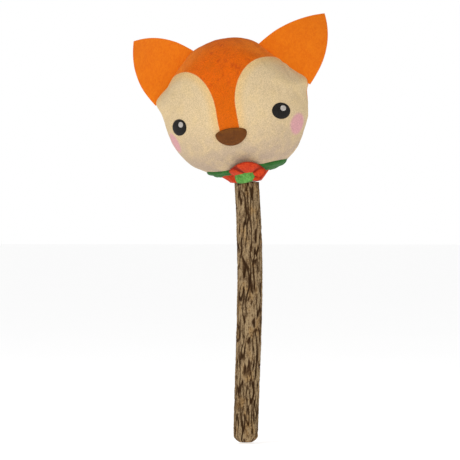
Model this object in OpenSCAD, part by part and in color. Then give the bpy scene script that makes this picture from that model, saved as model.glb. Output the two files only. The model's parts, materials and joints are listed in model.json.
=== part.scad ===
// Stick puppet: a stuffed animal head with felt ears and a small scarf, tied on a natural twig.
// Millimetres. The origin is the centre of the twig's lower end, +Z runs up the twig,
// and the face looks towards -Y.

/* [Twig] */
// Height of the twig's shoulder, where the scarf sits
stick_h = 182; // [150:1:220]
// Outer radius of the lower stretch, where the hand or a stand holds it
grip_r = 8.75; // [8:0.05:9]
// Length of that stretch
grip_h = 70; // [40:5:90]
// Outer radius of the bark above the grip
bark_r = 9; // [8.5:0.1:9.2]
// Thickness of the bark
bark_t = 2.2; // [1:0.1:3]
// Radius of the peg whittled on the twig's top
peg_r = 6; // [4:0.5:6]
// Height of the peg above the shoulder
peg_h = 18; // [12:1:20]

/* [Head] */
// Radius of the head seen from the front
head_r = 51; // [48:1:54]
// Depth of the face in front of the side seam
face_d = 38; // [32:1:42]
// Depth of the back of the head behind the side seam
back_d = 34; // [28:1:40]
// Height of the head's centre above the neck's turning point
head_rise = 52; // [51:0.5:54]
// Lean of the head towards -X at rest
head_lean = 8.8; // [0:0.1:10]
// Thickness of the velour skin
skin_t = 1.6; // [1:0.1:2.5]

/* [Ears] */
// Length of the ear's sewn base
ear_base = 45; // [38:1:48]
// Height of the ear's tip above its base
ear_h = 46; // [36:1:50]
// How far along the base the tip stands, from the upper end
ear_tip = 21; // [15:1:28]
// Thickness of one felt layer
ear_t = 1.2; // [0.8:0.1:1.3]
// Backward sweep of the ear from the seam plane
ear_sweep = 27; // [0:1:30]

/* [Face] */
// Half the distance between the eyes
eye_x = 36.2; // [30:0.2:38]
// Width of an eye
eye_w = 11.4; // [10:0.2:15]
// Height of an eye
eye_h = 11.2; // [10:0.2:15]
// Width of the nose
nose_w = 22.4; // [16:0.2:25]
// Height of the nose
nose_h = 11.6; // [8:0.2:14]
// Thickness of the stitched eyes and nose on the skin
stitch_t = 1.2; // [0.8:0.1:1.5]

/* [Scarf] */
// Radius of the scarf's opening round the twig
scarf_r = 10.7; // [10.5:0.1:11.5]
// Height of the scarf's upper edge above the neck's turning point
scarf_top = 12; // [9:0.5:14]
// Thickness of the green band on the head's underside
scarf_t = 2.4; // [1.5:0.1:3]

/* [Hidden] */
$fn = 64;

LEFT = -1;
RIGHT = 1;
FAR = 200;                       // longer than anything that a cutting shape has to pass
arc_steps = 12;                  // straight stretches in a quarter of the head's outline
pivot_z = stick_h + 0.5;         // the neck turns here, just above the shoulder

// Neck: thread wound on the peg, and the gathered hem of the skin round it
thread_r = 0.45;                 // radius of the thread
thread_turns = 3;
thread_z = pivot_z + 1.5;        // height of the lowest turn
glue_t = 1;                      // height of the glue bead on the shoulder
hem_in = peg_r + 1.7;            // leaves room for the nod
hem_out = hem_in + 1;
hem_low = 5.5;
hem_high = 9.5;
socket_r = 12;                   // room inside the head for peg, thread and hem
socket_top = 24;
seam_r = 0.9;                    // radius of the side seam's ridge

// Ear base line, in the seam plane, measured from the head's centre
ear_slant = 45;                  // direction of the ears from the head's middle
ear_reach = 47.3;                // distance of the base line from the centre
ear_upper = 14;                  // the base's upper end, along the line from its foot
ear_start = 0.8;                 // the felt starts this far outside its fold line
flat_gap = 1.1;                  // and the head keeps this far inside it
top_bulge = 4.4;                 // bow of the ear's upper edge
side_bulge = 6.3;                // bow of the ear's outer edge

// Face
eye_z = -8.9;
nose_z = -15.2;                  // the nose's upper edge
glint_r = 2;
glint_dx = 1.8;
glint_dz = 1.5;
glint_t = 0.4;

// Scarf, in the head's own frame with the turning point as origin
green_low = 6.4;                 // lower edge of the green band
red_low = -1.2;                  // lower edge of the red ring
red_in = 13;                     // the red ring's radius at that edge
red_mid = 16;
red_out = 21;                    // and at its outer edge
red_gap = 0.15;                  // it lies this far under the ball
knot_x = 5;                      // middle of the folded knot
knot_w = 25;
knot_low = 4;
knot_top = 12.8;
knot_t = 4.8;                    // how far it stands out from the ball
knot_back = -15;                 // it starts this far in front of the neck's middle
tail_w = 12;
tail_d = 3;
tail_low = -1;
tail_high = 7;
tail_x = 2;                      // middle of the tail, a little to the right of the face
tail_y = -11.8;
tail_round = 2;

// Height of the ball's underside at a distance to the side, from the turning point
function ball_low(x) = head_rise - sqrt(head_r * head_r - x * x);

// ---------- shared shapes ----------

// The head's outline beside its front-to-back axis, smaller than the outside by inset:
// an arc of the face's ellipse, of the back's or of both, as angles from the seam plane
function head_arc(inset, from, to) =
    let (steps = arc_steps * abs(to - from) / 90)
    [for (i = [0 : steps]) let (t = from + (to - from) * i / steps)
        [(head_r - inset) * cos(t), ((t > 0 ? face_d : back_d) - inset) * sin(t)]];

// An ellipse as a polygon
function oval(w, h, steps = 32) =
    [for (i = [0 : steps - 1]) [w / 2 * cos(360 * i / steps), h / 2 * sin(360 * i / steps)]];

// The points of an edge from a to b that bows out to its left by bulge, without its last point
function bowed(a, b, bulge, steps = 10) =
    let (side = [a.y - b.y, b.x - a.x] / norm(b - a))
    [for (i = [0 : steps - 1])
        let (t = i / steps) a + (b - a) * t + side * 4 * bulge * t * (1 - t)];

// The head's own frame: the turning point is the origin and the face's middle line is +Z
module in_head() {
    translate([0, 0, pivot_z]) rotate([0, -head_lean, 0]) children();
}

// The same, with the centre of the stuffed ball as the origin
module at_ball() {
    in_head() translate([0, 0, head_rise]) children();
}

// The straight cuts at the ears' base lines
module ear_flats(inset) {
    for (side = [LEFT, RIGHT]) rotate([0, side * ear_slant, 0])
        translate([-FAR / 2, -FAR / 2, ear_reach - flat_gap - inset]) cube([FAR, FAR, FAR]);
}

// The whole stuffed ball, smaller than the skin's outside by inset
module ball_form(inset) {
    rotate([90, 0, 0]) rotate_extrude()
        polygon(head_arc(inset, -90, 90));
}

// A layer of the ball between two insets, over the face or over the back
module ball_layer(outer, inner, from, to) {
    rotate([90, 0, 0]) rotate_extrude()
        polygon(concat(head_arc(outer, from, to), head_arc(inner, to, from)));
}

// Twelve-sided room for the peg and what is wound on it, in the ball's frame
module neck_socket() {
    translate([0, 0, -head_rise - 10]) cylinder(r = socket_r, h = socket_top + 10, $fn = 12);
}

// A layer on the front of the skin, from one height to another, cut to the outline of its children
module on_face(low, high) {
    at_ball() intersection() {
        ball_layer(-high, -low, 0, 90);
        translate([0, -seam_r, 0]) rotate([90, 0, 0]) linear_extrude(FAR) children();
    }
}

// ---------- twig ----------

module stick_wood() {
    color("burlywood") {
        cylinder(r = grip_r - bark_t, h = stick_h);
        cylinder(r = peg_r, h = stick_h + peg_h);
    }
}

module stick_bark() {
    color([0.47, 0.37, 0.27]) difference() {
        union() {
            cylinder(r = grip_r, h = grip_h);
            translate([0, 0, grip_h]) cylinder(r = bark_r, h = stick_h - grip_h);
        }
        translate([0, 0, -1]) cylinder(r = grip_r - bark_t, h = stick_h + 2);
    }
}

module neck_glue() {
    color("ivory") translate([0, 0, stick_h]) difference() {
        cylinder(r = peg_r + 1, h = glue_t);
        translate([0, 0, -1]) cylinder(r = peg_r, h = glue_t + 2);
    }
}

// ---------- neck ----------

module neck_thread() {
    color("white") for (i = [0 : thread_turns - 1])
        translate([0, 0, thread_z + i * thread_r * 1.9])
            rotate_extrude() translate([peg_r + thread_r + 0.05, 0]) circle(r = thread_r, $fn = 16);
}

module neck_hem() {
    color("navajowhite") translate([0, 0, pivot_z + hem_low]) difference() {
        cylinder(r = hem_out, h = hem_high - hem_low);
        translate([0, 0, -1]) cylinder(r = hem_in, h = hem_high - hem_low + 2);
    }
}

// ---------- head ----------

module head_stuffing() {
    color("whitesmoke") at_ball() difference() {
        ball_form(skin_t);
        ear_flats(skin_t);
        neck_socket();
    }
}

module face_panel() {
    color([0.87, 0.75, 0.6]) at_ball() difference() {
        ball_layer(0, skin_t, 0, 90);
        ear_flats(0);
        neck_socket();
    }
}

module back_panel() {
    color([0.86, 0.4, 0.08]) at_ball() difference() {
        ball_layer(0, skin_t, -90, 0);
        ear_flats(0);
        neck_socket();
    }
}

// The ridge of the seam between face and back, left open at the ears and at the neck
module side_seam() {
    color([0.86, 0.4, 0.08]) at_ball() difference() {
        rotate([90, 0, 0]) rotate_extrude()
            translate([head_r, 0]) circle(r = seam_r, $fn = 16);
        ball_form(0);
        ear_flats(0);
        translate([-FAR / 2, -FAR / 2, -head_rise - FAR + scarf_top]) cube([FAR, FAR, FAR]);
    }
}

// ---------- ears ----------

// The outline of an ear: first axis down the base line, second axis outwards
module ear_outline() {
    upper = [0, ear_start];
    lower = [ear_base, ear_start];
    tip = [ear_tip, ear_h];
    polygon(concat(bowed(upper, tip, top_bulge), bowed(tip, lower, side_bulge), [lower]));
}

// One felt layer of an ear; layer 0 is the front one
module ear_layer(side, layer) {
    at_ball() mirror([side == LEFT ? 1 : 0, 0, 0]) rotate([0, ear_slant, 0])
        translate([-ear_upper, 0, ear_reach]) rotate([90 - ear_sweep, 0, 0])
            translate([0, 0, layer == 0 ? 0 : -ear_t]) linear_extrude(ear_t) ear_outline();
}

module ear_left_front() { color([0.92, 0.47, 0.09]) ear_layer(LEFT, 0); }
module ear_left_back() { color([0.86, 0.4, 0.08]) ear_layer(LEFT, 1); }
module ear_right_front() { color([0.92, 0.47, 0.09]) ear_layer(RIGHT, 0); }
module ear_right_back() { color([0.86, 0.4, 0.08]) ear_layer(RIGHT, 1); }

// ---------- face ----------

module eye(side) {
    color([0.15, 0.12, 0.1]) on_face(0, stitch_t)
        translate([side * eye_x, eye_z]) polygon(oval(eye_w, eye_h));
}

module glint(side) {
    color([0.78, 0.75, 0.72]) on_face(stitch_t, stitch_t + glint_t)
        translate([side * eye_x + glint_dx, eye_z + glint_dz]) circle(r = glint_r, $fn = 32);
}

module eye_left() { eye(LEFT); }
module eye_right() { eye(RIGHT); }
module glint_left() { glint(LEFT); }
module glint_right() { glint(RIGHT); }

// The lower part of an oval under a nearly straight upper edge
module nose() {
    color([0.45, 0.26, 0.12]) on_face(0, stitch_t) translate([0, nose_z]) intersection() {
        polygon(oval(nose_w, nose_h * 2));
        translate([-nose_w / 2, -nose_h]) square([nose_w, nose_h]);
    }
}

// ---------- scarf ----------

// The outline of the folded knot, seen from the front, in the head's frame
module knot_outline() {
    translate([knot_x, knot_low]) intersection() {
        polygon(oval(knot_w, 2 * (knot_top - knot_low)));
        translate([-knot_w / 2, 0]) square([knot_w, knot_top - knot_low]);
    }
}

// The room that the knot takes in front of the neck, in the ball's frame
module knot_room() {
    translate([0, knot_back, -head_rise]) rotate([90, 0, 0]) linear_extrude(FAR) knot_outline();
}

module scarf_green() {
    color([0.25, 0.42, 0.23]) at_ball() difference() {
        intersection() {
            ball_layer(-scarf_t, 0, -90, 90);
            translate([-FAR / 2, -FAR / 2, green_low - head_rise])
                cube([FAR, FAR, scarf_top - green_low]);
        }
        knot_room();
    }
}

// The ring under the ball: its upper side follows the ball's underside
module scarf_red() {
    color([0.84, 0.29, 0.15]) at_ball() difference() {
        translate([0, 0, -head_rise]) rotate_extrude() polygon([
            [scarf_r, red_low], [red_in, red_low], [red_out, ball_low(red_out) - red_gap],
            [red_mid, ball_low(red_mid) - red_gap], [scarf_r, ball_low(scarf_r) - red_gap]]);
        knot_room();
        translate([0, 0, -head_rise]) tail_form();
    }
}

module tail_form() {
    translate([tail_x, tail_y, tail_low]) rotate([90, 0, 0]) linear_extrude(tail_d) polygon([
        [-tail_w / 2 + tail_round, 0], [tail_w / 2 - tail_round, 0], [tail_w / 2, tail_round],
        [tail_w / 2, tail_high - tail_low], [-tail_w / 2, tail_high - tail_low],
        [-tail_w / 2, tail_round]]);
}

module scarf_knot() {
    color([0.9, 0.3, 0.15]) at_ball() difference() {
        intersection() {
            ball_layer(-knot_t, 0, 0, 90);
            knot_room();
        }
        translate([0, 0, -head_rise]) tail_form();
    }
}

module scarf_tail() {
    color([0.4, 0.65, 0.32]) at_ball() difference() {
        translate([0, 0, -head_rise]) tail_form();
        ball_form(0);
    }
}

stick_wood();
stick_bark();
neck_glue();
neck_thread();
neck_hem();
head_stuffing();
face_panel();
back_panel();
side_seam();
ear_left_front();
ear_left_back();
ear_right_front();
ear_right_back();
eye_left();
eye_right();
glint_left();
glint_right();
nose();
scarf_green();
scarf_red();
scarf_knot();
scarf_tail();
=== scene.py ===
# Stick puppet: a stuffed animal head with felt ears and a small scarf on a natural twig.
import json
import math

import bpy
import numpy as np
from mathutils import Matrix, Vector, noise
from mathutils.bvhtree import BVHTree


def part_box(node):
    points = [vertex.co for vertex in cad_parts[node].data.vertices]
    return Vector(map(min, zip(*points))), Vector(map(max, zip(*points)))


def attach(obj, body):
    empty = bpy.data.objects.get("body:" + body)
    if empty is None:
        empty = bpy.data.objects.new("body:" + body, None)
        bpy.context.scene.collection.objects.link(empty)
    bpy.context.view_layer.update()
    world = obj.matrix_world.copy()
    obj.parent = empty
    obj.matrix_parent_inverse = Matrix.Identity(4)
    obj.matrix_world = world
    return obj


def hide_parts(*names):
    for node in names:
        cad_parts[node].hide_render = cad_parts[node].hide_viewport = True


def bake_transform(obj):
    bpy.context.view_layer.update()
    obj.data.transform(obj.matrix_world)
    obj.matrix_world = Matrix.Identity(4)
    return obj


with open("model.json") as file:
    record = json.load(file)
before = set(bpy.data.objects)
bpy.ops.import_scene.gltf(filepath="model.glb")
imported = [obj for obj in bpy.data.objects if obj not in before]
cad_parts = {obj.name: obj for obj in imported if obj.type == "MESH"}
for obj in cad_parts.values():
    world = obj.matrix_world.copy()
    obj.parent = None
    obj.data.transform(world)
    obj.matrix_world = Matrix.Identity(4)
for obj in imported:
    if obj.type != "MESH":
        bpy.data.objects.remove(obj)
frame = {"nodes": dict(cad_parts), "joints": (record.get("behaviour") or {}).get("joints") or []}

MM = 0.001
TAU = 2 * math.pi
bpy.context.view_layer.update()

# ---------- the head's frame ----------

NECK = Vector(next(j["pos_m"] for j in frame["joints"] if j["name"] == "head_tilt"))
LEAN = math.radians(8.8)                 # rest lean of the head towards -X
RISE = 52 * MM                           # from the neck's turning point to the ball's centre
NECK_TO_ROW = Matrix.Translation(NECK) @ Matrix.Rotation(-LEAN, 4, "Y")
BALL_TO_ROW = NECK_TO_ROW @ Matrix.Translation((0, 0, RISE))

BALL_R = 50.6 * MM                       # half width of the ball
FACE_D = 38 * MM                         # its depth in front of the seam
BACK_D = 34 * MM                         # and behind it
CROWN_DROP = 1.2 * MM                    # the crown is this much lower than a circle
EAR_REACH = {-1: 48.6 * MM, 1: 47.0 * MM}     # from the ball's centre to an ear's base line
EAR_SLANT = math.radians(45)
CORNER = 6.2 * MM                        # the skin reaches out to the ear's lower corner
CORNER_AT = math.radians(14)
CORNER_WIDTH = math.radians(9)
EAR_SPAN = math.radians(34)              # the ball thins to an edge over this angle at an ear
RIM_THINNING = 0.62
NECK_HOLE = 12.2 * MM
SKIN = 1.2 * MM


def smoothstep(value, low, high):
    t = np.clip((value - low) / (high - low), 0, 1)
    return t * t * (3 - 2 * t)


def step(value, low, high):
    return float(smoothstep(value, low, high))


def lerp(a, b, t):
    return a + (b - a) * t


def bell(*offsets):
    """1 at no offset, falling as a Gauss curve. Each offset is already divided by its width."""
    return np.exp(-sum(o * o for o in offsets))


def wobble(points, size, seed, octaves=2):
    """Smooth noise from -1 to 1 at each point, with features of that size in metres."""
    shift = Vector((seed * 17.3, seed * -9.1, seed * 5.7))
    return np.array([
        noise.fractal(Vector(p) / size + shift, 1.0, 2.0, octaves) for p in points])


def seam_radius(angle, right):
    """Distance of the side seam from the ball's centre, for an angle above the horizontal."""
    crown = CROWN_DROP * np.clip(np.sin(angle), 0, 1)
    round_part = BALL_R - crown + CORNER * bell((angle - CORNER_AT) / CORNER_WIDTH)
    away = np.maximum(np.cos(angle - EAR_SLANT), 0.3)
    blend = 0.8 * MM
    flat_part = np.where(right, EAR_REACH[1], EAR_REACH[-1]) / away
    return -blend * np.log(np.exp(-round_part / blend) + np.exp(-flat_part / blend))


def ball_points(directions, inset=0.0):
    """Points of the stuffed ball, in its own frame, for unit directions."""
    x, y, z = directions.T
    out = np.hypot(x, z)
    angle = np.arctan2(z, np.abs(x))
    rim = lerp(BALL_R, seam_radius(angle, x > 0), out ** 4) - inset
    at_ear = bell((angle - EAR_SLANT) / EAR_SPAN) ** 2
    thinner = 1 - RIM_THINNING * at_ear * (1 - smoothstep(np.abs(y), 0, 0.65))
    depth = (np.where(y < 0, FACE_D, BACK_D) - inset) * thinner
    return np.stack([rim * x, depth * y, rim * z], 1)


def ball_normals(points):
    x, y, z = points.T
    depth = np.where(y < 0, FACE_D, BACK_D)
    n = np.stack([x / BALL_R ** 2, y / depth ** 2, z / BALL_R ** 2], 1)
    return n / np.linalg.norm(n, axis=1, keepdims=True)


# ---------- meshes ----------

def to_row(points, matrix=BALL_TO_ROW):
    m = np.array(matrix)
    return np.asarray(points) @ m[:3, :3].T + m[:3, 3]


def make(name, points, faces, material, body, replaces=()):
    """A smooth mesh piece in the row frame, which rides on a body."""
    mesh = bpy.data.meshes.new(name)
    mesh.from_pydata([tuple(map(float, p)) for p in points], [], [tuple(f) for f in faces])
    mesh.polygons.foreach_set("use_smooth", [True] * len(mesh.polygons))
    mesh.materials.append(material)
    mesh.update()
    piece = bpy.data.objects.new(name, mesh)
    bpy.context.scene.collection.objects.link(piece)
    if body:
        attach(piece, body)
    if replaces:
        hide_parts(*replaces)
    return piece


def attribute(piece, name, values):
    data = piece.data.attributes.new(name, "FLOAT", "POINT")
    data.data.foreach_set("value", np.asarray(values, np.float32))


def modify(piece, kind, **settings):
    modifier = piece.modifiers.new(kind.title(), kind)
    for key, value in settings.items():
        setattr(modifier, key, value)
    return modifier


def refine(piece, levels=1):
    modify(piece, "SUBSURF", levels=levels, render_levels=levels)


def grid_faces(rows, columns, wrap=False, start=0):
    """Quads between rows of points; with wrap, each row is a closed ring."""
    faces = []
    for r in range(rows - 1):
        for c in range(columns if wrap else columns - 1):
            d = (c + 1) % columns
            a = start + r * columns
            faces.append((a + c, a + d, a + columns + d, a + columns + c))
    return faces


def cube_sphere(n):
    """Directions and quads of a sphere made from a cube with n by n squares a side."""
    keys, faces = {}, []
    for axis in range(3):
        for sign in (-1, 1):
            u, v = [(1, 2), (2, 0), (0, 1)][axis]
            index = {}
            for i in range(n + 1):
                for j in range(n + 1):
                    p = [0, 0, 0]
                    p[axis], p[u], p[v] = sign * n, 2 * i - n, 2 * j - n
                    index[i, j] = keys.setdefault(tuple(p), len(keys))
            for i in range(n):
                for j in range(n):
                    quad = [index[i, j], index[i + 1, j], index[i + 1, j + 1], index[i, j + 1]]
                    faces.append(quad if sign > 0 else quad[::-1])
    even = np.tan(np.array(list(keys)) / n * math.pi / 4)
    return even / np.linalg.norm(even, axis=1, keepdims=True), faces


def keep_faces(points, faces, wanted):
    """The points and faces that are left when only the wanted faces stay."""
    kept = [f for f, w in zip(faces, wanted) if w]
    used = sorted({i for f in kept for i in f})
    new = {old: i for i, old in enumerate(used)}
    return points[used], [[new[i] for i in f] for f in kept]


# ---------- material nodes ----------

class Shader:
    """A Principled material and short ways to add nodes to it."""

    def __init__(self, name, **sockets):
        self.material = bpy.data.materials.new(name)
        self.material.use_nodes = True
        self.tree = self.material.node_tree
        self.surface = self.tree.nodes["Principled BSDF"]
        for key, value in sockets.items():
            self.surface.inputs[key.replace("_", " ")].default_value = value
        self.place = self.add("ShaderNodeTexCoord").outputs["Object"]

    def add(self, kind, inputs=(), **settings):
        made = self.tree.nodes.new(kind)
        for key, value in settings.items():
            setattr(made, key, value)
        for key, value in dict(inputs).items():
            if isinstance(value, bpy.types.NodeSocket):
                self.tree.links.new(value, made.inputs[key])
            else:
                made.inputs[key].default_value = value
        return made

    def out(self, socket, value):
        self.tree.links.new(value, self.surface.inputs[socket])

    def value(self, name):
        return self.add("ShaderNodeAttribute", attribute_name=name).outputs["Fac"]

    def stretched(self, x, y, z):
        return self.add("ShaderNodeMapping", {"Vector": self.place, "Scale": (x, y, z)}).outputs[0]

    def noise(self, size, detail=3.0, rough=0.55, place=None, distortion=0.0):
        """Noise from 0 to 1 with features of that size in metres."""
        return self.add("ShaderNodeTexNoise", {
            "Vector": place or self.place, "Scale": 1 / size, "Detail": detail,
            "Roughness": rough, "Distortion": distortion}).outputs["Fac"]

    def math(self, operation, a, b=0.0, c=0.0):
        return self.add("ShaderNodeMath", {0: a, 1: b, 2: c}, operation=operation).outputs[0]

    def between(self, value, low, high, to_low=0.0, to_high=1.0):
        """value mapped from low..high to to_low..to_high, smoothly and clamped."""
        return self.add("ShaderNodeMapRange", {
            "Value": value, "From Min": low, "From Max": high, "To Min": to_low,
            "To Max": to_high}, interpolation_type="SMOOTHSTEP").outputs["Result"]

    def mix(self, share, a, b, how="MIX"):
        made = self.add("ShaderNodeMix", data_type="RGBA", blend_type=how)
        for index, value in ((0, share), (6, a), (7, b)):
            if isinstance(value, bpy.types.NodeSocket):
                self.tree.links.new(value, made.inputs[index])
            else:
                made.inputs[index].default_value = value
        return made.outputs[2]

    def bump(self, height, distance, strength=1.0, under=None):
        inputs = {"Height": height, "Distance": distance, "Strength": strength}
        if under is not None:
            inputs["Normal"] = under
        return self.add("ShaderNodeBump", inputs).outputs[0]


def srgb(red, green, blue):
    """A linear colour from 0 to 255 screen values."""
    linear = [c / 12.92 if c <= 0.04045 else ((c + 0.055) / 1.055) ** 2.4
              for c in (red / 255, green / 255, blue / 255)]
    return (*linear, 1.0)


def cloth_shader(name, sheen=0.12, rough=0.92):
    made = Shader(name, Roughness=rough, Sheen_Weight=sheen, Sheen_Roughness=0.45)
    made.surface.inputs["Specular IOR Level"].default_value = 0.15
    return made


def pile(made, colour, size=0.8 * MM, depth=0.2 * MM):
    """Short fibres: a fine uneven nap in bump, colour and roughness over a given colour."""
    fine = made.noise(size, 4.0, 0.7)
    brushed = made.noise(size * 5, 2.0, 0.5, made.stretched(1.0, 1.0, 0.35), 0.6)
    grain = made.between(fine, 0.3, 0.7, 0.8, 1.15)
    shade = made.add("ShaderNodeCombineColor", {0: grain, 1: grain, 2: grain}).outputs[0]
    made.out("Base Color", made.mix(1.0, colour, shade, "MULTIPLY"))
    made.out("Roughness", made.between(brushed, 0.3, 0.7, 0.82, 0.98))
    soft = made.bump(brushed, depth * 1.5, 0.5)
    made.out("Normal", made.bump(fine, depth, 0.8, soft))


ORANGE = srgb(215, 99, 5)
# Painted light: the crown's orange is lighter, to make up for the shade where the head curves away
ORANGE_CROWN_PAINTED_LIGHT = srgb(230, 102, 5)


def velour(name):
    made = cloth_shader(name, sheen=0.04)
    border = made.math("ADD", made.value("border"),
                       made.math("MULTIPLY", made.noise(1.6 * MM), 0.5 * MM))
    cream = made.mix(made.between(made.value("border"), 0.5 * MM, 8 * MM),
                     srgb(230, 192, 132), srgb(219, 194, 153))
    # painted shade: the cream darkens towards the bottom of the head
    cream = made.mix(made.value("chin"), cream, srgb(180, 158, 137))
    # painted shade in the chin's dent above the knot
    cream = made.mix(made.math("MULTIPLY", made.value("dent_shade"), 0.4), cream, srgb(150, 130, 112))
    cream = made.mix(made.between(made.noise(9 * MM), 0.4, 0.7, 0.0, 0.4), cream, srgb(226, 198, 146))
    blush = made.between(made.value("blush"), 0.0, 1.0, 0.0, 0.85)
    cream = made.mix(blush, cream, srgb(218, 158, 166))
    # painted light: lighter orange over the crown
    orange = made.mix(made.between(made.value("crown"), 0.0, 1.0), ORANGE, ORANGE_CROWN_PAINTED_LIGHT)
    # painted shade: dark red streaks where small creases would shade the crown
    crown_crease_shade = made.between(made.noise(5 * MM, 3.0, 0.6, made.stretched(1.3, 1.0, 0.7)), 0.5, 0.72)
    crown_crease_shade = made.math("MULTIPLY", crown_crease_shade, made.value("crown"))
    orange = made.mix(made.math("MULTIPLY", crown_crease_shade, 0.75), orange, srgb(184, 62, 12))
    # painted light: the orange is lightened next to the ears, against the shade where the ball curves
    # away
    orange = made.mix(made.value("at_ear"), orange, srgb(248, 134, 24))
    orange = made.mix(made.between(made.noise(7 * MM), 0.4, 0.7, 0.0, 0.6), orange, ORANGE)
    both = made.mix(made.between(border, -0.1 * MM, 0.6 * MM), orange, cream)
    pile(made, both)
    return made.material


def felt(name, colour, deep, light, size=0.9 * MM):
    """Matted fibres: wandering strands of a lighter and a deeper tone."""
    made = cloth_shader(name, sheen=0.1, rough=0.95)
    strands = made.noise(size * 3, 5.0, 0.75, made.stretched(1.0, 1.0, 0.6), 1.5)
    tone = made.mix(made.between(strands, 0.35, 0.7), deep, colour)
    tone = made.mix(made.between(made.noise(size, 5.0, 0.8), 0.5, 0.75, 0.0, 0.55), tone, light)
    # painted shade: the tone darkens in the creases and at the rim that the crease attribute marks
    folded = made.mix(1.0, tone, srgb(150, 110, 110), "MULTIPLY")
    tone = made.mix(made.between(made.value("crease"), 0.15, 1.2, 0.0, 0.9), tone, folded)
    made.out("Base Color", tone)
    made.out("Roughness", made.between(strands, 0.3, 0.7, 0.84, 0.98))
    soft = made.bump(strands, 0.2 * MM, 0.5)
    made.out("Normal", made.bump(made.noise(size * 0.7, 4.0, 0.7), 0.14 * MM, 0.8, soft))
    return made.material


def stitched(name, colour, deep, light, thread=0.42 * MM):
    """Satin stitch: fine parallel threads across the piece, with a soft gloss."""
    made = Shader(name, Roughness=0.6)
    made.surface.inputs["Specular IOR Level"].default_value = 0.2
    across = made.add("ShaderNodeMapping", {
        "Vector": made.place, "Rotation": (0, LEAN, 0), "Scale": (1, 1, 0.06)}).outputs[0]
    lines = made.add("ShaderNodeTexWave", {
        "Vector": across, "Scale": 0.32 / thread, "Distortion": 1.6, "Detail": 2.0,
        "Detail Scale": 1.5}, bands_direction="X").outputs["Fac"]
    fleck = made.noise(0.7 * MM, 3.0, 0.7, across)
    tone = made.mix(made.between(lines, 0.1, 0.8), deep, colour)
    tone = made.mix(made.between(fleck, 0.5, 0.8, 0.0, 0.7), tone, light)
    rise = made.value("rise")
    # painted light: the top of each patch is lighter, as if lit from above
    tone = made.mix(made.between(rise, 0.7, 0.95, 0.0, 0.5), tone, light)
    worn = made.noise(2.6 * MM, 3.0, 0.65, made.stretched(0.8, 1.0, 1.3))
    tone = made.mix(made.between(worn, 0.42, 0.68, 0.0, 0.6), tone, deep)
    made.out("Base Color", tone)
    made.out("Roughness", made.between(lines, 0.0, 1.0, 0.7, 0.5))
    made.out("Normal", made.bump(lines, 0.12 * MM, 0.7))
    return made.material


def bark_material():
    made = Shader("bark", Roughness=0.9)
    made.surface.inputs["Specular IOR Level"].default_value = 0.15
    # ridge sets the tone: plates light, furrows dark; the bark's own darker furrows, with painted
    # shade in them too
    high = made.value("ridge")
    grain = made.noise(0.9 * MM, 4.0, 0.7, made.stretched(1.0, 1.0, 0.5), 0.3)
    grit = made.noise(0.6 * MM, 4.0, 0.75)
    patch = made.noise(7 * MM, 3.0, 0.6, made.stretched(1.0, 1.0, 0.5))
    other = made.noise(4 * MM, 2.0, 0.6, made.stretched(1.2, 1.2, 0.4))
    level = made.math("ADD", high, made.math("MULTIPLY", made.math("SUBTRACT", grain, 0.5), 0.9))
    level = made.math("ADD", level, made.math("MULTIPLY", made.math("SUBTRACT", grit, 0.5), 0.9))
    streak = made.noise(1.2 * MM, 3.0, 0.6, made.stretched(1.0, 1.0, 0.16), 0.2)
    level = made.math("ADD", level, made.math("MULTIPLY", made.math("SUBTRACT", streak, 0.5), 1.2))
    tone = made.add("ShaderNodeValToRGB", {"Fac": level})
    stops = tone.color_ramp.elements
    stops[0].position, stops[0].color = 0.1, srgb(56, 36, 14)
    stops[1].position, stops[1].color = 1.15 / 1.2, srgb(167, 142, 106)
    for place, colour in ((0.3, srgb(72, 48, 25)), (0.5, srgb(90, 69, 45)),
                          (0.72, srgb(113, 90, 63))):
        stops.new(place).color = colour
    mixed = made.mix(made.between(patch, 0.5, 0.68, 0.0, 0.5), tone.outputs[0],
                     made.mix(1.0, tone.outputs[0], srgb(246, 216, 150), "MULTIPLY"))
    mixed = made.mix(made.between(other, 0.52, 0.7, 0.0, 0.55), mixed,
                     made.mix(1.0, mixed, srgb(206, 196, 190), "MULTIPLY"))
    made.out("Base Color", mixed)
    made.out("Roughness", made.between(grain, 0.3, 0.7, 0.8, 0.97))
    fine = made.bump(grit, 0.15 * MM, 0.8)
    made.out("Normal", made.bump(grain, 0.35 * MM, 0.8, fine))
    return made.material


def wood_material():
    made = Shader("wood", Roughness=0.7)
    rings = made.add("ShaderNodeTexWave", {
        "Vector": made.place, "Scale": 260.0, "Distortion": 1.2, "Detail": 3.0,
        "Detail Scale": 2.0}, wave_type="RINGS", rings_direction="Z").outputs["Fac"]
    tone = made.mix(rings, srgb(196, 160, 112), srgb(154, 116, 74))
    tone = made.mix(made.between(made.noise(1.2 * MM, 4.0, 0.7), 0.45, 0.75, 0.0, 0.6), tone,
                    srgb(120, 88, 56))
    made.out("Base Color", tone)
    made.out("Roughness", made.between(rings, 0.0, 1.0, 0.62, 0.8))
    made.out("Normal", made.bump(rings, 0.15 * MM, 0.5))
    return made.material


def fibre_material(name, colour, deep):
    """Loose fibre or thread: streaks of a pale and a deeper tone."""
    made = cloth_shader(name, sheen=0.15)
    strands = made.noise(0.8 * MM, 6.0, 0.8, None, 2.0)
    made.out("Base Color", made.mix(strands, deep, colour))
    made.out("Roughness", made.between(strands, 0.3, 0.7, 0.8, 0.95))
    made.out("Normal", made.bump(strands, 0.3 * MM, 0.7))
    return made.material


def glue_material():
    made = Shader("glue", Roughness=0.25)
    made.surface.inputs["Subsurface Weight"].default_value = 0.2
    cloudy = made.noise(2 * MM, 3.0)
    made.out("Base Color", made.mix(cloudy, srgb(226, 214, 180), srgb(244, 238, 220)))
    made.out("Roughness", made.between(cloudy, 0.3, 0.7, 0.18, 0.4))
    made.out("Normal", made.bump(cloudy, 0.2 * MM, 0.4))
    return made.material


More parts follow.
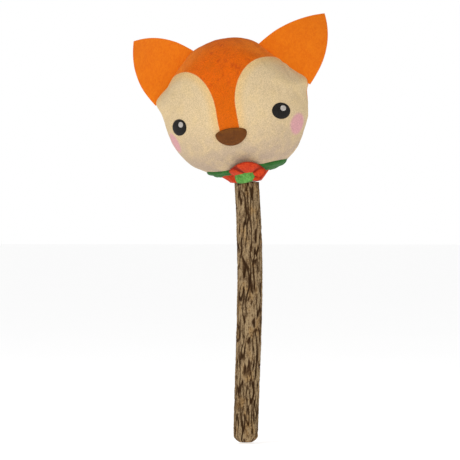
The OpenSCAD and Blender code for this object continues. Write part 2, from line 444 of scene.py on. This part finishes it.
FACE = velour("face_velour")
VELOUR = velour("orange_velour")
EAR_FELT = felt("ear_felt", srgb(240, 126, 18), srgb(230, 109, 6), srgb(246, 148, 40))
DARK_GREEN = felt("scarf_green", srgb(56, 116, 50), srgb(36, 84, 34), srgb(88, 142, 74))
LIGHT_GREEN = felt("scarf_light_green", srgb(112, 174, 84), srgb(72, 134, 56), srgb(150, 204, 116))
RED = felt("scarf_red", srgb(215, 72, 29), srgb(182, 46, 18), srgb(232, 100, 54))
BLACK_THREAD = stitched("eye_thread", srgb(30, 26, 23), srgb(18, 15, 13), srgb(44, 40, 36))
GLINT_THREAD = stitched("glint_thread", srgb(204, 198, 192), srgb(168, 160, 152), srgb(228, 224, 220))
BROWN_THREAD = stitched("nose_thread", srgb(121, 66, 8), srgb(88, 46, 6), srgb(146, 86, 20))
BARK = bark_material()
WOOD = wood_material()
STUFFING = fibre_material("stuffing", srgb(246, 246, 242), srgb(214, 214, 208))
THREAD = fibre_material("thread", srgb(238, 234, 224), srgb(190, 182, 166))
HEM = felt("hem_cloth", srgb(224, 198, 158), srgb(200, 172, 132), srgb(236, 214, 178))
GLUE = glue_material()

# ---------- head skin ----------

PATCH_X, PATCH_Z = 30.5 * MM, -2 * MM    # middle of the cream patch round an eye
PATCH_W = 23.5 * MM                      # its half width
PATCH_H = {-1: 31 * MM, 1: 32.5 * MM}    # its half height, left and right
WRAP = 4.5 * MM                          # the cream goes this far round the seam on the cheeks
BLUSH_X, BLUSH_Y, BLUSH_Z, BLUSH_R = 44.3 * MM, -13.4 * MM, -18.8 * MM, 8.6 * MM
DENT_X, DENT_Z = 4.5 * MM, -38 * MM      # where the chin is drawn in by the knot
CHIN_DENT = 2.6 * MM
SEAM_GROOVE = 0.8 * MM
NECK_GATHERS = 11                        # folds of the skin round the neck
NECK_DRAW = 1.6 * MM                     # how far the tie draws it in
CLOTH_FRAMES = 20
CLOTH_SPARE = 0.008                      # the cloth is this share larger than its form
SLIP_LIMIT = 0.4 * MM                    # how far the simulation may shift it along or inwards
START_INSET = 0.5 * MM                   # the simulation starts this far inside
SWELL_LIMIT = 2.4 * MM
NOSE_TOP = -15.5 * MM


def border_distance(points):
    """About how far a point of the face is inside the cream, negative in the orange."""
    x, _, z = points.T
    height = np.where(x < 0, PATCH_H[-1], PATCH_H[1])
    dx, dz = (np.abs(x) - PATCH_X) / PATCH_W, (z - PATCH_Z) / height
    dx = np.where(dx > 0, 0.78 * dx, dx)
    reach = np.hypot(dx, dz)
    scale = reach / np.maximum(np.hypot(dx / PATCH_W, dz / height), 1e-6)
    above = (1 - reach) * scale
    beside = np.abs(x) - (PATCH_X - PATCH_W)
    upper = np.where(z > PATCH_Z, above, beside)
    below_nose = NOSE_TOP - 3 * MM - z
    return np.maximum(upper, below_nose)


def inflated(points, faces):
    """The ball's cloth after a short simulation: sewn fast at the seam and the neck, and
    pressed outwards by the stuffing."""
    mesh = bpy.data.meshes.new("inflated")
    mesh.from_pydata([tuple(p) for p in points], [], faces)
    piece = bpy.data.objects.new("inflated", mesh)
    scene = bpy.context.scene
    scene.collection.objects.link(piece)
    x, y, z = points.T
    sewn = (np.abs(y) < 0.4 * MM) | ((np.hypot(x, y) < NECK_HOLE + MM) & (z < 0))
    pins = piece.vertex_groups.new(name="sewn")
    pins.add([int(i) for i in np.flatnonzero(sewn)], 1.0, "REPLACE")
    settings = piece.modifiers.new("Cloth", "CLOTH").settings
    settings.vertex_group_mass = pins.name
    settings.use_pressure = True
    settings.uniform_pressure_force = 4
    settings.effector_weights.gravity = 0
    settings.shrink_min = -CLOTH_SPARE
    settings.quality = 6
    for number in range(1, CLOTH_FRAMES + 1):
        scene.frame_set(number)
    moved = np.empty(len(points) * 3, np.float32)
    shape = piece.evaluated_get(bpy.context.evaluated_depsgraph_get()).data
    shape.vertices.foreach_get("co", moved)
    scene.frame_set(1)
    bpy.data.objects.remove(piece)
    bpy.data.meshes.remove(mesh)
    move = moved.reshape(-1, 3) - points
    normals = ball_normals(points)
    out = (move * normals).sum(1, keepdims=True)
    along = move - out * normals
    slip = np.linalg.norm(along, axis=1, keepdims=True)
    along *= np.minimum(1, SLIP_LIMIT / np.maximum(slip, 1e-9))
    return points + along + normals * np.clip(out, -SLIP_LIMIT, SWELL_LIMIT)


def head_shape(directions, faces):
    """The skin's outer surface with its dents, gathers and the seam's puckers."""
    points = inflated(ball_points(directions, START_INSET), faces)
    normals = ball_normals(points)
    x, y, z = points.T
    side = np.abs(x)
    puckers = wobble(np.stack([x, 0 * y, z], 1), 3.2 * MM, 1, 1)
    near_seam = np.exp(-np.abs(y) / (6 * MM))
    off_ear = 1 - bell((np.arctan2(z, side) - EAR_SLANT) / EAR_SPAN) ** 2
    in_front = smoothstep(-y, 0, 20 * MM)

    def swell(by, across, middle, width, low, height):
        """A soft rise of the skin, all in mm: by how much, its place and half width across,
        and how low it sits below the ball's centre and its half height."""
        return by * MM * bell((across - middle * MM) / (width * MM), (z + low * MM) / (height * MM))

    push = 0.5 * MM * wobble(points, 20 * MM, 2)
    push += 0.5 * MM * puckers * near_seam * off_ear
    push -= SEAM_GROOVE * bell(y / (1.3 * MM)) * off_ear
    push -= CHIN_DENT * bell((x - DENT_X) / (8 * MM), (z - DENT_Z) / (4.5 * MM)) * in_front
    push += swell(1.3, side, 27, 14, 25, 11) * in_front           # both cheeks
    push -= swell(0.8, x, 0, 13, 20, 7) * in_front                # between them, at the nose
    push += swell(1.7, x, 51, 16, 10, 17)                         # the right side is fuller
    push += swell(1.5, x, 36, 14, 36, 13)                         # and so is its jowl
    push -= swell(1.3, x, -26, 9, 43, 8)                          # the left jowl is drawn in
    gathers = np.sin(NECK_GATHERS * np.arctan2(y, x) + 3 * puckers)
    push += 0.4 * MM * gathers * smoothstep(-z, 45 * MM, 49 * MM)
    push -= NECK_DRAW * smoothstep(-z, 42 * MM, 49 * MM)
    return points + normals * push[:, None]


directions, ball_faces = cube_sphere(48)
skin = head_shape(directions, ball_faces)
middles = np.array([skin[f].mean(0) for f in ball_faces])
open_neck = (np.hypot(middles[:, 0], middles[:, 1]) < NECK_HOLE) & (middles[:, 2] < 0)


def skin_half(name, wanted, material, replaced):
    points, faces = keep_faces(skin, ball_faces, wanted & ~open_neck)
    piece = make(name, to_row(points), faces, material, "head", [replaced])
    x, y, z = points.T
    wrap = WRAP * smoothstep(-z, -4 * MM, 6 * MM) - y
    attribute(piece, "border", np.where(y > SKIN, wrap, border_distance(points)))
    attribute(piece, "blush", 1 - smoothstep(np.sqrt(
        (np.abs(x) - BLUSH_X) ** 2 + (y - BLUSH_Y) ** 2 + (z - BLUSH_Z) ** 2),
        BLUSH_R * 0.65, BLUSH_R * 1.1))
    # crown: where the orange is painted lighter and streaked with painted crease shade
    attribute(piece, "crown", smoothstep(z, -6 * MM, 26 * MM) * bell(x / (30 * MM)))
    # chin: share of painted shade, rising towards the bottom of the head
    attribute(piece, "chin", smoothstep(-z, 4 * MM, 46 * MM))
    # where shade is painted into the chin's dent
    attribute(piece, "dent_shade", bell((x - DENT_X) / (13 * MM), (z - DENT_Z) / (5 * MM)))
    # at_ear below marks where the orange is painted lighter beside the ears
    at_ear = bell((np.arctan2(z, np.abs(x)) - EAR_SLANT) / EAR_SPAN)
    attribute(piece, "at_ear", at_ear * smoothstep(np.hypot(x, z), 34 * MM, 47 * MM))
    refine(piece)
    modify(piece, "SOLIDIFY", thickness=SKIN, offset=-1)
    return piece


face_piece = skin_half("face_skin", middles[:, 1] < 0, FACE, "face_panel")
skin_half("back_skin", middles[:, 1] >= 0, VELOUR, "back_panel")

STUFFING_IN = 3.4 * MM                   # the fibre's surface lies this far inside the skin's
POCKET_R = 12.6 * MM                     # the pocket for the peg
POCKET_TOP = 25 * MM - RISE


def stuffing():
    """The ball of fibre, pressed in round the neck to a pocket for the peg."""
    directions, faces = cube_sphere(22)
    points = ball_points(directions, STUFFING_IN)
    points += ball_normals(points) * (0.6 * MM * wobble(points, 9 * MM, 5))[:, None]
    across = np.hypot(points[:, 0], points[:, 1])
    pocket = (points[:, 2] < 0) & (across < POCKET_R)
    points[pocket, 2] = POCKET_TOP + 0.1 * across[pocket]
    piece = make("stuffing", to_row(points), faces, STUFFING, "head", ["head_stuffing"])
    return piece


stuffing()

# ---------- side seam ----------

CORD_IN = 1.3 * MM                       # the seam's cord lies this deep in its groove


def seam_run(start, stop, count):
    """Points and faces of one stretch of the seam's twisted cord between two angles."""
    sides, turns = 8, (stop - start) / TAU * 90
    points = []
    for i in range(count):
        t = i / (count - 1)
        angle = lerp(start, stop, t)
        elevation = math.asin(math.sin(angle))
        right = math.cos(angle) > 0
        radius = float(seam_radius(np.array([elevation]), right)[0]) - CORD_IN
        middle = Vector((radius * math.cos(angle), 0, radius * math.sin(angle)))
        outward = Vector((math.cos(angle), 0, math.sin(angle)))
        thick = 0.5 * MM * math.sqrt(min(1.0, 12 * t, 12 * (1 - t)) + 0.02)
        for k in range(sides):
            spin = TAU * k / sides + turns * TAU * t
            size = thick * (1.25 if k % 2 else 0.85)
            points.append(middle + outward * size * math.cos(spin)
                          + Vector((0, size * math.sin(spin), 0)))
    faces = grid_faces(count, sides, True)
    faces += [tuple(range(sides))[::-1], tuple(range((count - 1) * sides, count * sides))]
    return points, faces


def side_seam():
    """Twisted cord in the groove between face and back, between the ears and down each side."""
    points, faces = [], []
    low = math.radians(-52)
    ear_low, ear_high = math.radians(8), math.radians(66)
    for start, stop, count in ((low, ear_low, 260), (ear_high, math.pi - ear_high, 220),
                               (math.pi - ear_low, math.pi - low, 260)):
        run, quads = seam_run(start, stop, count)
        faces += [tuple(i + len(points) for i in f) for f in quads]
        points += run
    piece = make("seam_cord", to_row(points), faces, VELOUR, "head", ["side_seam"])
    attribute(piece, "border", [-p.z for p in points])


side_seam()

# ---------- ears ----------

# The ears are cut and sewn on a little unevenly: -1 is the left one and 1 the right one.
EAR_BASE = {-1: 46.8 * MM, 1: 46.3 * MM}
EAR_HIGH = {-1: 45.6 * MM, 1: 47.2 * MM}
EAR_SHIFT = {-1: -1.3 * MM, 1: 2.6 * MM}      # along the base line, outwards
EAR_TIP = {-1: 21 * MM, 1: 22 * MM}      # how far along the base the tip stands
EAR_UPPER = {-1: 14 * MM, 1: 15 * MM}    # from the foot of the centre's normal to the upper end
TOP_BULGE = {-1: 4.2 * MM, 1: 3.2 * MM}
SIDE_BULGE = {-1: 4.5 * MM, 1: 5.6 * MM}
SWEEP_AT_BASE = math.radians(12)         # the ear leaves the seam plane at this angle
SWEEP_MORE = math.radians(26)            # and turns back by this much more at its tip
EAR_FORWARD = 1.6 * MM                   # its base is sewn on just in front of the seam
FELT = 1.15 * MM


def bowed(a, b, bulge, t):
    side = Vector((a.y - b.y, b.x - a.x)).normalized()
    return a.lerp(b, t) + side * 4 * bulge * t * (1 - t)


def ear_point(side, along, out, layer_y):
    """From the ear's flat cut to the ball's frame. The flap curls back as it leaves the seam."""
    share = max(out, 0.0) / EAR_HIGH[side]
    first, last = SWEEP_AT_BASE, SWEEP_AT_BASE + SWEEP_MORE * max(share, 1e-3)
    flat_out = out * (math.sin(last) - math.sin(first)) / (last - first)
    back = out * (math.cos(first) - math.cos(last)) / (last - first) - EAR_FORWARD
    back += 1.6 * MM * math.sin(math.pi * along / EAR_BASE[side]) * share
    s, c = math.sin(EAR_SLANT), math.cos(EAR_SLANT)
    line = along - EAR_UPPER[side] + EAR_SHIFT[side]
    x = (EAR_REACH[side] + flat_out) * c + line * s
    z = (EAR_REACH[side] + flat_out) * s - line * c
    return Vector((side * x, back + layer_y, z))


def ear_layer(name, side, front, replaced):
    rows, columns = 30, 26
    upper, lower = Vector((0, 0)), Vector((EAR_BASE[side], 0))
    tip = Vector((EAR_TIP[side], EAR_HIGH[side]))
    tuck = 2.5 * MM
    points = []
    for r in range(rows):
        t = (r / (rows - 1)) ** 0.85
        left = bowed(upper, tip, TOP_BULGE[side], t)
        right = bowed(tip, lower, SIDE_BULGE[side], 1 - t)
        for c in range(columns):
            flat = left.lerp(right, c / (columns - 1))
            out = flat.y - tuck * (1 - min(1.0, t * 4))
            points.append(ear_point(side, flat.x, out, (-0.5 if front else 0.5) * FELT))
    points = np.array(points)
    points[:, 1] += 0.25 * MM * wobble(points, 12 * MM, 3)
    faces = grid_faces(rows, columns)
    if (side > 0) == front:
        faces = [f[::-1] for f in faces]
    piece = make(name, to_row(points), faces, EAR_FELT, None, [replaced])
    modify(piece, "SOLIDIFY", thickness=FELT * 0.98, offset=0)
    modify(piece, "BEVEL", width=0.25 * MM, segments=2, limit_method="ANGLE",
           angle_limit=math.radians(50))
    start = BALL_TO_ROW @ ear_point(side, EAR_BASE[side] / 2, 0.0, 0.0)
    end = BALL_TO_ROW @ ear_point(side, EAR_BASE[side] / 2, 7 * MM, 0.0)
    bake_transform(piece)
    return piece


for side, word in ((-1, "left"), (1, "right")):
    ear_layer(f"ear_{word}_front_felt", side, True, f"ear_{word}_front")
    ear_layer(f"ear_{word}_back_felt", side, False, f"ear_{word}_back")

# ---------- eyes and nose ----------


def surface_of(points, faces):
    return BVHTree.FromPolygons([tuple(p) for p in points], faces)


def patch(name, under, middle, outline, rise, material, replaced, slot, rings=14, spokes=64):
    """A closed, domed patch on what lies under it. outline gives its edge for an angle.
    Returns its points and faces in the ball's frame, for a patch on top of it."""
    points = []

    def rows(lift):
        for ring in range(rings + 1):
            share = ring / rings
            for spoke in range(spokes):
                edge = outline(TAU * spoke / spokes)
                x, z = middle[0] + share * edge[0], middle[1] + share * edge[1]
                hit = under.ray_cast(Vector((x, -0.1, z)), Vector((0, 1, 0)))[0]
                out = Vector(ball_normals(np.array([hit]))[0])
                points.append(hit + out * lift(share))

    rows(lambda share: rise * math.sqrt(max(0.0, 1 - share ** 4)) + 0.12 * MM)
    rows(lambda share: -0.35 * MM)
    count = (rings + 1) * spokes
    top = grid_faces(rings + 1, spokes, True)
    faces = [f[::-1] for f in top] + [tuple(i + count for i in f) for f in top]
    last = rings * spokes
    for spoke in range(spokes):
        after = (spoke + 1) % spokes
        faces.append((last + spoke, last + after, count + last + after, count + last + spoke))
    piece = make(name, to_row(points), faces, material, "head", [replaced])
    # rise: height within the patch, from which its top is painted lighter
    lows = np.array([p[2] for p in points])
    attribute(piece, "rise", (lows - lows.min()) / (lows.max() - lows.min()))
    return points, faces


def oval(width, height):
    return lambda angle: (width / 2 * math.cos(angle), height / 2 * math.sin(angle))


def half_moon(width, height):
    """A flat upper edge with round corners over a rounded lower edge."""
    def edge(angle):
        x = width / 2 * math.cos(angle)
        s = math.sin(angle)
        if s > 0:
            return x, height * 0.34 * s ** 0.8
        return x * (1 - 0.06 * s * s), height * 0.66 * math.copysign(abs(s) ** 1.1, s)
    return edge


EYE_X, EYE_Z = 36.2 * MM, -8.9 * MM
EYE_W, EYE_H = 11.4 * MM, 11.3 * MM
under_face = surface_of(skin, ball_faces)
for side, word in ((-1, "left"), (1, "right")):
    eye_points, eye_faces = patch(
        f"eye_{word}_stitch", under_face, (side * EYE_X, EYE_Z), oval(EYE_W, EYE_H), 0.9 * MM,
        BLACK_THREAD, f"eye_{word}", "eye_thread")
    patch(f"glint_{word}_stitch", surface_of(eye_points, eye_faces),
          (side * EYE_X + 1.8 * MM, EYE_Z + 1.5 * MM), oval(3.6 * MM, 3.8 * MM), 0.3 * MM,
          GLINT_THREAD, f"glint_{word}", "glint_thread", rings=8, spokes=32)
patch("nose_stitch", under_face, (0.5 * MM, NOSE_TOP - 4.2 * MM), half_moon(22.2 * MM, 12 * MM),
      1.8 * MM, BROWN_THREAD, "nose", "nose_thread", rings=18, spokes=96)

# ---------- scarf ----------


def ring_piece(name, section, material, replaced, turns=220):
    """A closed band round the neck. section gives the loop of points at each turn."""
    points, count = [], 0
    for i in range(turns):
        loop = section(TAU * i / turns)
        count = len(loop)
        points += loop
    faces = [f[::-1] for f in grid_faces(turns, count, True)]
    for c in range(count):
        d = (c + 1) % count
        a = (turns - 1) * count
        faces.append((c, d, a + d, a + c))
    return make(name, to_row(points, NECK_TO_ROW), faces, material, "head", [replaced])


def on_skin(turn, reach):
    """Where an oval round the neck meets the head's underside, and the skin's normal there,
    in the neck's frame. reach is the oval's half width."""
    depth = FACE_D if math.sin(turn) < 0 else BACK_D
    start = Vector((reach * math.cos(turn), reach * math.sin(turn) * depth / BALL_R, -0.1))
    hit, normal = under_face.ray_cast(start, Vector((0, 0, 1)))[:2]
    return hit + Vector((0, 0, RISE)), normal


def bezier(a, b, c, d, t):
    """A curve from a to d that leans on b and c, and nearly passes them."""
    b, c = b * 1.5 - (a + d) * 0.25, c * 1.5 - (a + d) * 0.25
    u = 1 - t
    return a * u ** 3 + b * (3 * u * u * t) + c * (3 * u * t * t) + d * t ** 3


BAND_IN, BAND_OUT = 16.8 * MM, 28.4 * MM        # half widths of the green band's two edges
BAND_UNEVEN = 2.3 * MM                   # it reaches this much further on its +X side
BAND_THICK = 1.25 * MM
KNOT_X = 5 * MM                          # the bands are thinner under the knot


def green_section(turn):
    """A flat fold of felt that lies on the head's underside, with a crease along it."""
    c, s = math.cos(turn), math.sin(turn)
    swing = noise.noise(Vector((c, s, 3.0)) * 1.3)
    in_front = step(-s, 0.3, 1)
    outer = BAND_OUT + BAND_UNEVEN * c + (0.8 * swing - 2.6 * in_front) * MM
    over, under = [], []
    for k in range(13):
        u = k / 12
        place, out = on_skin(turn, lerp(BAND_IN, outer, u))
        crease = 1 - 0.4 * math.exp(-((u - 0.55 - 0.15 * swing) / 0.1) ** 2)
        thin = 1 - 0.7 * in_front * float(bell((place.x - KNOT_X) / (11 * MM)))
        rise = BAND_THICK * math.sqrt(1 - abs(2 * u - 1) ** 3) * crease * thin
        over.append(place + out * (rise + 0.15 * MM))
        under.append(place - out * 0.25 * MM)
    return over + under[::-1]


RING_TOP = 18.4 * MM                     # half width where the red ring starts under the band
RING_BORE = 10.7 * MM                    # its opening round the twig
PLEATS, PLEAT_DEEP = 13, 0.45 * MM


def red_section(turn):
    """Gathered cloth from under the green band down to the opening round the twig."""
    c, s = math.cos(turn), math.sin(turn)
    drift = 2.2 * noise.noise(Vector((c, s, 7.0)) * 2)
    pleat = math.sin(PLEATS * turn + drift) * PLEAT_DEEP
    top = on_skin(turn, RING_TOP)[0]
    shoulder, out = on_skin(turn, RING_TOP - 1.8 * MM)
    shoulder += out * (0.9 * MM + 0.5 * pleat)
    drawn_up = max(0.0, -c) ** 2 * 1.6 * MM       # the ring rides up on its -X side
    waist = Vector((13.6 * MM * c, 12.8 * MM * s, 2.2 * MM)) + Vector((c, s, -0.9)) * pleat
    waist += Vector((0.7 * drawn_up, 0, 0.7 * drawn_up))
    bore = Vector((RING_BORE * c, RING_BORE * s, 0))
    low = bore + Vector((0.3 * MM * c, 0.3 * MM * s, -0.9 * MM + drawn_up))
    inner_low = bore + Vector((0, 0, -0.4 * MM + drawn_up))
    inner_top = bore + Vector((0.2 * MM * c, 0.2 * MM * s, 3 * MM))
    outer = [bezier(top, shoulder, waist, low, k / 14) for k in range(15)]
    back = [inner_low, inner_low.lerp(inner_top, 0.5), inner_top, inner_top.lerp(top, 0.5)]
    return outer + back


green = ring_piece("scarf_green_band", green_section, DARK_GREEN, "scarf_green")
red = ring_piece("scarf_red_ring", red_section, RED, "scarf_red")


def rounded(corners, spokes):
    """A smooth closed outline through a few given corners, as that many points."""
    corners = [Vector(c) for c in corners]
    n, outline = len(corners), []
    for i in range(spokes):
        t = i / spokes * n
        k, u = int(t), t - int(t)
        a, b, c, d = (corners[(k + o - 1) % n] for o in range(4))
        outline.append(0.5 * (2 * b + (c - a) * u + (2 * a - 5 * b + 4 * c - d) * u ** 2
                              + (3 * b - a - 3 * c + d) * u ** 3))
    return outline


BEHIND = 1.4 * MM                        # how far a cushion swells towards what it lies on
EDGE_SHADE = 0.65                        # its rim is darker, where the cloth turns under


def cushion(name, middle, corners, depth_at, bulge, folds, material, replaced,
            thickness=lambda z: 1):
    """A closed lump of folded cloth, seen from the front as its outline round a middle.
    folds gives how deep a crease is at an angle and a share of the way to the edge."""
    rings, spokes, points, painted_fold_shade = 18, 96, [], []
    outline = rounded(corners, spokes)
    for back in (False, True):
        for ring in range(rings + 1):
            share = ring / rings
            for edge in outline:
                x, z = Vector(middle).lerp(edge, share)
                angle = math.degrees(math.atan2(edge.y - middle[1], edge.x - middle[0]))
                crease = folds(angle, share) * (1 - share ** 8)
                high = math.sqrt(max(0.0, 1 - share ** 3.5)) * thickness(z)
                out = -BEHIND * high if back else bulge * high - crease
                points.append((x, depth_at(x, z) - out, z))
                # painted shade: deeper in each crease and darker towards the rim
                painted_fold_shade.append(crease / MM + EDGE_SHADE * step(share, 0.78, 1))
    count = (rings + 1) * spokes
    front = grid_faces(rings + 1, spokes, True)
    faces = front + [tuple(i + count for i in f[::-1]) for f in front]
    last = rings * spokes
    for spoke in range(spokes):
        after = (spoke + 1) % spokes
        faces.append((last + after, last + spoke, count + last + spoke, count + last + after))
    piece = make(name, to_row(points, NECK_TO_ROW), faces, material, "head", [replaced])
    attribute(piece, "crease", painted_fold_shade)
    return piece


def knot_depth(x, z):
    """The front of the bands behind the knot, at a place seen from the front."""
    width = 1 - (x / BALL_R) ** 2 - ((z - RISE) / BALL_R) ** 2
    ball = -FACE_D * math.sqrt(max(0.0, width))
    return min(ball, -11.4 * MM - 0.3 * z) - 2 * MM


def crease_at(*places):
    """Folds that run outwards at some angles: each is (degrees, width in degrees, depth in mm)."""
    def depth(angle, share):
        ramp = min(1.0, 2.5 * share)
        return ramp * sum(
            deep * MM * math.exp(-(((angle - at + 180) % 360 - 180) / wide) ** 2)
            for at, wide, deep in places)
    return depth


# Outlines seen from the front, as (x, z) in mm from the neck's turning point
KNOT = [(-7.4, 7.6), (-3.6, 9.9), (0.6, 11.6), (6.6, 12.3), (12.2, 10.6), (16.0, 7.0),
        (17.6, 4.4), (14.8, 1.4), (11.0, -1.4), (5.0, -0.2), (-2.0, 1.0), (-5.6, 4.0)]
TAIL = [(-4.7, 4.6), (-3.4, 5.8), (2.3, 6.3), (7.4, 6.4), (9.0, 4.8), (9.2, 1.2), (7.2, -0.9),
        (2.6, -1.7), (-2.8, -1.4), (-4.6, 0.4)]
knot = cushion(
    "scarf_knot_fold", (5.4 * MM, 3.0 * MM), [(x * MM, z * MM) for x, z in KNOT],
    knot_depth, 3.0 * MM,
    crease_at((140, 11, 1.3), (112, 5, 0.5), (26, 9, 1.0), (70, 6, 0.3), (-20, 9, 0.7)),
    RED, "scarf_knot", lambda z: 0.3 + 0.7 * step(z, 2 * MM, 7 * MM))
tail = cushion(
    "scarf_tail_end", (2.2 * MM, 2.3 * MM), [(x * MM, z * MM) for x, z in TAIL],
    lambda x, z: -13 * MM - 0.5 * z, 2.3 * MM,
    crease_at((160, 14, 0.5), (20, 12, 0.5), (-60, 16, 0.3)),
    LIGHT_GREEN, "scarf_tail")

# ---------- twig ----------

STICK_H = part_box("stick_bark")[1].z
CORE_R = 6.5 * MM
BOW, BOW_SKEW = 2.8 * MM, 1.45           # it bows towards +X, most above its middle
TOP_SHIFT = 0.7 * MM
END_ROUND = 5 * MM
SCAR_TURN, SCAR_Z = math.radians(-85), 50 * MM    # where a side shoot was cut off
GRIP_R, GRIP_H = 8.75 * MM, 70 * MM      # the lower stretch, which a hand or a stand holds
BARK_R = 8.8 * MM                        # the bark's mean radius, which the furrows are laid out on
FURROW_DEEP = 1.05 * MM


def bow_at(z):
    share = min(1.0, max(0.0, z / STICK_H))
    return BOW * math.sin(math.pi * share ** BOW_SKEW) + TOP_SHIFT * share ** 4


def bark_radius(turn, z):
    """Outer radius and a height from 0, in a crevice, to 1, on a plate of bark."""
    c, s = math.cos(turn), math.sin(turn)
    round_trip = Vector((c, s, 0)) * BARK_R
    at = round_trip / (9 * MM) + Vector((0, 0, z / (16 * MM)))
    wander = Vector([noise.noise(at + Vector((0, 0, far))) for far in (0, 19.3, 41.7)]) * 1.6 * MM
    place = round_trip + wander * 0.6 + Vector((0, 0, z + wander.z))
    plates = abs(noise.noise(Vector((place.x, place.y, place.z * 0.15)) / (2.7 * MM)))
    where = noise.noise(Vector((place.x, place.y, place.z * 0.5)) / (5.5 * MM) + Vector((9, 0, 0)))
    pits = noise.noise(Vector((place.x, place.y, place.z * 0.24)) / (1.5 * MM) + Vector((0, 5, 0)))
    grit = noise.noise(Vector((place.x, place.y, place.z * 0.8)) / (0.9 * MM))
    furrow = 1 - step(plates, 0.03, 0.17)
    furrow *= step(where, -0.4, 0.06)
    pit = step(pits, 0.16, 0.46) * step(-where, -0.3, 0.15)
    scar_turn = math.remainder(turn - SCAR_TURN, TAU) * BARK_R
    scar = math.hypot(scar_turn / (4.2 * MM), (z - SCAR_Z) / (5.5 * MM))
    lip = math.exp(-((scar - 1) / 0.22) ** 2)
    hollow = math.exp(-(scar / 0.5) ** 2)
    high = (1 - furrow) * (1 - 0.85 * pit)
    high = high * (1 - 0.6 * hollow) + 0.25 * lip
    high = min(1.0, max(0.0, 0.86 * high + 0.2 * grit))
    thick = GRIP_R + 0.25 * MM * min(1.0, z / GRIP_H) + 0.15 * MM * where
    thick -= FURROW_DEEP * (1 - high) + 0.3 * MM * step(z, 140 * MM, STICK_H)
    return thick * (1 - 0.5 * max(0.0, 1 - z / END_ROUND) ** 2.2), high


def twig_bark():
    rows, columns = 300, 150
    points, ridges = [], []
    for r in range(rows):
        z = STICK_H * (r / (rows - 1)) ** 1.03
        for c in range(columns):
            turn = TAU * c / columns
            radius, ridge = bark_radius(turn, z)
            points.append((bow_at(z) + radius * math.cos(turn), radius * math.sin(turn), z))
            ridges.append(ridge)
    for z in (STICK_H - 0.3 * MM, STICK_H / 2, 0.4 * MM):
        radius = CORE_R if z > END_ROUND else CORE_R * 0.55
        for c in range(columns):
            turn = TAU * c / columns
            points.append((bow_at(z) + radius * math.cos(turn), radius * math.sin(turn), z))
            ridges.append(0.1)
    faces = grid_faces(rows + 3, columns, True)
    last = (rows + 2) * columns
    for c in range(columns):
        d = (c + 1) % columns
        faces.append((last + c, last + d, d, c))
    piece = make("twig_bark", points, faces, BARK, "stick", ["stick_bark"])
    attribute(piece, "ridge", ridges)
    return piece


def twig_wood():
    """The core: a slightly domed cut end below, and the whittled peg above."""
    # Each is (radius, height) in mm.
    cut_end = [(0.0, 0.0), (2.5, 0.05), (3.5, 0.3)]
    core = [(3.55, 0.6), (3.6, 4.0), (6.35, 7.0), (6.35, 60.0), (6.35, 120.0), (6.35, 181.4)]
    peg = [(5.95, 182.0), (5.9, 190.0), (5.75, 198.6), (4.9, 199.8), (0.0, 200.0)]
    columns, points = 48, []
    stations = cut_end + core + peg
    for radius, z in stations:
        for c in range(columns):
            turn = TAU * c / columns
            facet = 1 - (0.03 * (1 - abs(math.cos(3.5 * turn))) if z > 182 else 0)
            middle = bow_at(z * MM) if z < 182 else 0.0
            points.append((middle + radius * MM * facet * math.cos(turn),
                           radius * MM * facet * math.sin(turn), z * MM))
    return make("twig_wood", points, grid_faces(len(stations), columns, True), WOOD, "stick",
                ["stick_wood"])


twig_bark()
twig_wood()
for node, material in (("neck_glue", GLUE), ("neck_thread", THREAD), ("neck_hem", HEM)):
    for place in frame["nodes"][node].material_slots:
        place.material = material

# ---------- floor, light and camera ----------

CAMERA_TURN = math.radians(10)           # the camera stands this far to the right of the face
CAMERA_FAR = 2.2
FRAME_HIGH = 0.322                       # height of the view at the object
VIEW_MIDDLE = Vector((-0.0112, 0, 0.1484))
AMBIENT = 0.36                           # the studio's light from all sides


def floor():
    made = Shader("floor", Roughness=0.9, Emission_Color=(1, 1, 1, 1), Emission_Strength=0.62)
    made.out("Base Color", made.mix(made.noise(0.3, 2.0), srgb(246, 246, 246), srgb(250, 250, 250)))
    mesh = bpy.data.meshes.new("floor")
    size = 30
    mesh.from_pydata([(-size, -size, -MM), (size, -size, -MM), (size, size, -MM), (-size, size, -MM)],
                     [], [(0, 1, 2, 3)])
    mesh.materials.append(made.material)
    piece = bpy.data.objects.new("floor", mesh)
    bpy.context.scene.collection.objects.link(piece)


def lamp(name, place, aim, size, power):
    light = bpy.data.lights.new(name, "AREA")
    light.energy, light.size = power, size
    piece = bpy.data.objects.new(name, light)
    piece.location = place
    piece.rotation_euler = (Vector(aim) - Vector(place)).to_track_quat("-Z", "Y").to_euler()
    bpy.context.scene.collection.objects.link(piece)


def studio():
    world = bpy.data.worlds.new("studio")
    bpy.context.scene.world = world
    world.use_nodes = True
    tree = world.node_tree
    tree.nodes["Background"].inputs["Color"].default_value = (1, 1, 1, 1)
    seen = tree.nodes.new("ShaderNodeLightPath").outputs["Is Camera Ray"]
    strength = tree.nodes.new("ShaderNodeMapRange")
    tree.links.new(seen, strength.inputs["Value"])
    strength.inputs["To Min"].default_value = AMBIENT
    strength.inputs["To Max"].default_value = 1.0
    tree.links.new(strength.outputs["Result"], tree.nodes["Background"].inputs["Strength"])
    head = NECK + Vector((0, 0, RISE))
    lamp("key", (-0.7, -1.1, 1.1), head, 0.8, 8)
    lamp("fill", (1.0, -1.0, 0.4), head, 1.0, 3.8)


def camera():
    data = bpy.data.cameras.new("camera")
    data.sensor_width = 36
    data.lens = data.sensor_width / 2 / (FRAME_HIGH / 2 / CAMERA_FAR)
    piece = bpy.data.objects.new("camera", data)
    back = Vector((math.sin(CAMERA_TURN), -math.cos(CAMERA_TURN), 0))
    piece.location = VIEW_MIDDLE + back * CAMERA_FAR
    piece.rotation_euler = (-back).to_track_quat("-Z", "Y").to_euler()
    bpy.context.scene.collection.objects.link(piece)
    bpy.context.scene.camera = piece


floor()
studio()
camera()
bpy.context.scene.view_settings.view_transform = "Standard"
